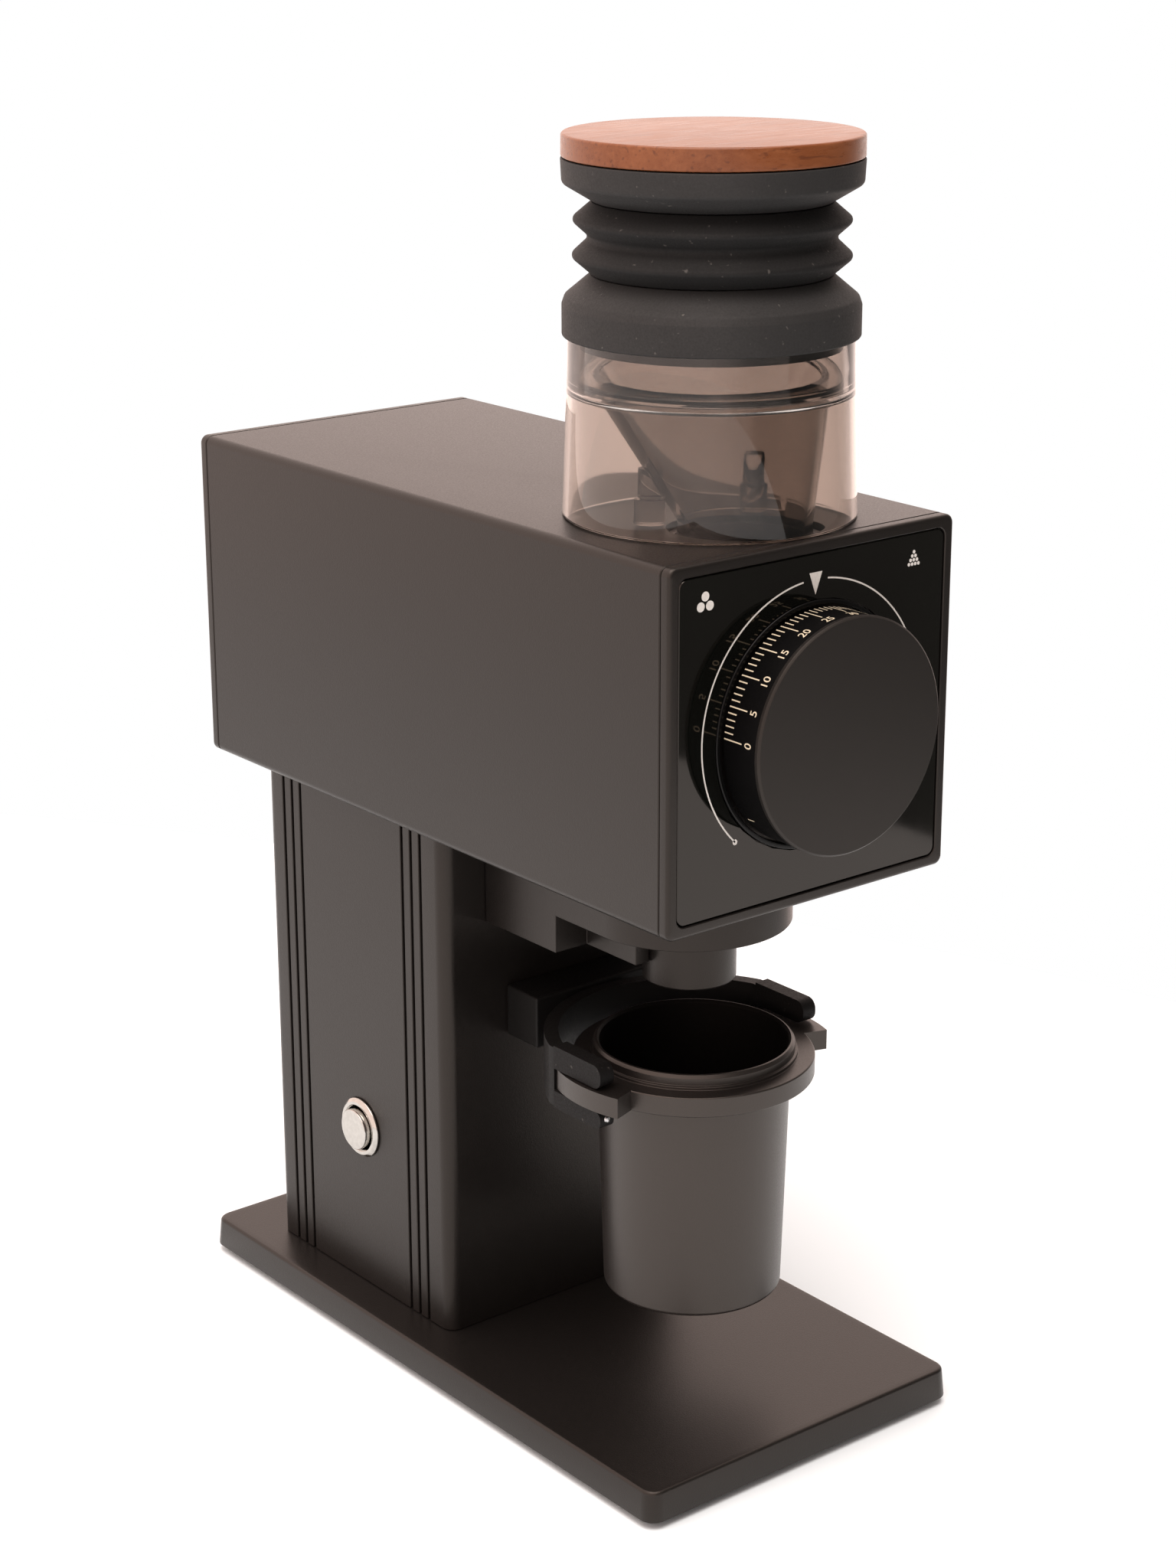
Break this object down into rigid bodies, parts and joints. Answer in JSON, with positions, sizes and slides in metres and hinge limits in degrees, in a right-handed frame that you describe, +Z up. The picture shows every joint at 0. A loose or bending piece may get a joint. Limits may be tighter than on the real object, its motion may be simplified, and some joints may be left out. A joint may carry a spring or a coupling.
{
  "type": "electric coffee grinder",
  "caption": "Single-dose electric coffee grinder: box head on a slab column, smoked hopper with bellows and wooden lid, front grind dial, dosing cup in a fork, metal push button.",
  "frame": {"origin": "centre of the footprint on the worktop, under the rubber feet", "axes": "+Z up, -Y towards the dial and the cup, +X to the right seen from the front"},
  "size_m": [0.1098, 0.2232, 0.3517],
  "materials": {
    "powder_coat_steel": "fine textured powder coat, warm dark grey",
    "powder_coat_aluminium": "fine textured powder coat, warm dark grey",
    "black_plastic": "moulded black plastic, satin",
    "glossy_panel": "glossy black panel with pale grey graphics",
    "smoked_plastic": "clear smoked plastic with a warm tint",
    "rubber": "matt black rubber",
    "wood": "oiled reddish brown wood",
    "nickel": "bright nickel plate",
    "circuit_board": "green lacquer",
    "cast_aluminium": "as cast",
    "steel": "turned steel",
    "tool_steel": "hardened and ground",
    "nylon": "moulded nylon",
    "motor_steel": "blackened steel",
    "copper": "enamelled copper winding",
    "brass": "turned brass"
  },
  "bodies": {
    "frame": {"base_plate": "powder_coat_steel", "base_screw_front_left": "steel", "base_screw_front_right": "steel", "base_screw_rear_left": "steel", "base_screw_rear_right": "steel", "button_bezel": "nickel", "button_nut": "nickel", "chute_housing": "powder_coat_aluminium", "column": "powder_coat_aluminium", "control_board": "circuit_board", "cover_screw_lower_left": "steel", "cover_screw_lower_right": "steel", "cover_screw_upper_left": "steel", "cover_screw_upper_right": "steel", "cup_fork": "black_plastic", "detent_pin_left": "steel", "detent_pin_right": "steel", "dial_trim_ring": "black_plastic", "feed_gasket": "rubber", "foot_front_left": "rubber", "foot_front_right": "rubber", "foot_rear_left": "rubber", "foot_rear_right": "rubber", "fork_bracket": "black_plastic", "front_bezel": "powder_coat_aluminium", "front_panel": "glossy_panel", "gearbox_cover": "cast_aluminium", "gearbox_housing": "cast_aluminium", "grind_chamber": "cast_aluminium", "head_shell": "powder_coat_aluminium", "lay_axle": "steel", "motor_bush": "brass", "motor_can": "motor_steel", "motor_lead": "rubber", "motor_magnet_left": "motor_steel", "motor_magnet_right": "motor_steel", "power_inlet": "black_plastic", "rear_cover": "powder_coat_aluminium", "shaft_bearing_front": "steel", "shaft_bearing_rear": "steel", "spout": "powder_coat_aluminium"},
    "dial": {"dial_skirt": "black_plastic", "dial_cap": "powder_coat_aluminium"},
    "carrier": {"burr_carrier": "cast_aluminium", "ring_burr": "tool_steel"},
    "drive": {"drive_shaft": "steel", "cone_burr": "tool_steel", "burr_nut": "steel", "output_gear": "nylon"},
    "lay": {"lay_gear": "nylon"},
    "rotor": {"motor_rotor": "copper", "motor_pinion": "brass"},
    "hopper": {"hopper_wall": "smoked_plastic", "hopper_funnel": "smoked_plastic"},
    "bellows": {"bellows_cuff_lower": "rubber", "bellows_folds": "rubber"},
    "bellows_top": {"bellows_cuff_upper": "rubber", "wood_lid": "wood"},
    "button": {"button_plunger": "nickel"},
    "cup": {"dosing_cup": "powder_coat_aluminium"}
  },
  "joints": [
    {"name": "dial_turn", "type": "hinge", "parent": "frame", "child": "dial", "pos_m": [0, -0.09785, 0.2087], "axis": [0, -1, 0], "range_deg": [-85.3, 191.9]},
    {"name": "burr_feed", "type": "slide", "parent": "frame", "child": "carrier", "axis": [0, -1, 0], "range_m": [-0.00036, 0.0008]},
    {"name": "shaft_spin", "type": "hinge", "parent": "frame", "child": "drive", "pos_m": [0, -0.09785, 0.2087], "axis": [0, -1, 0], "continuous": true},
    {"name": "lay_spin", "type": "hinge", "parent": "frame", "child": "lay", "pos_m": [0.0208, -0.09785, 0.2087], "axis": [0, -1, 0], "continuous": true},
    {"name": "motor_spin", "type": "hinge", "parent": "frame", "child": "rotor", "pos_m": [0, -0.09785, 0.2087], "axis": [0, -1, 0], "continuous": true},
    {"name": "hopper_lift", "type": "slide", "parent": "frame", "child": "hopper", "axis": [0, 0, 1], "range_m": [0, 0.06]},
    {"name": "bellows_lift", "type": "slide", "parent": "hopper", "child": "bellows", "axis": [0, 0, 1], "range_m": [0, 0.03]},
    {"name": "bellows_press", "type": "slide", "parent": "bellows", "child": "bellows_top", "axis": [0, 0, -1], "range_m": [0, 0.012], "stiffness_N_per_m": 200, "springref_m": -0.005, "deforming": ["bellows_folds"]},
    {"name": "button_press", "type": "slide", "parent": "frame", "child": "button", "axis": [1, 0, 0], "range_m": [0, 0.0015], "stiffness_N_per_m": 1000, "springref_m": -0.001},
    {"name": "cup_slide", "type": "slide", "parent": "frame", "child": "cup", "axis": [0, -1, 0], "range_m": [0, 0.095]}
  ],
  "couplings": [
    {"joint": "dial_turn", "follows": "burr_feed", "rad_per_m": 4188.8},
    {"joint": "lay_spin", "follows": "shaft_spin", "ratio": -3},
    {"joint": "motor_spin", "follows": "shaft_spin", "ratio": 9}
  ]
}
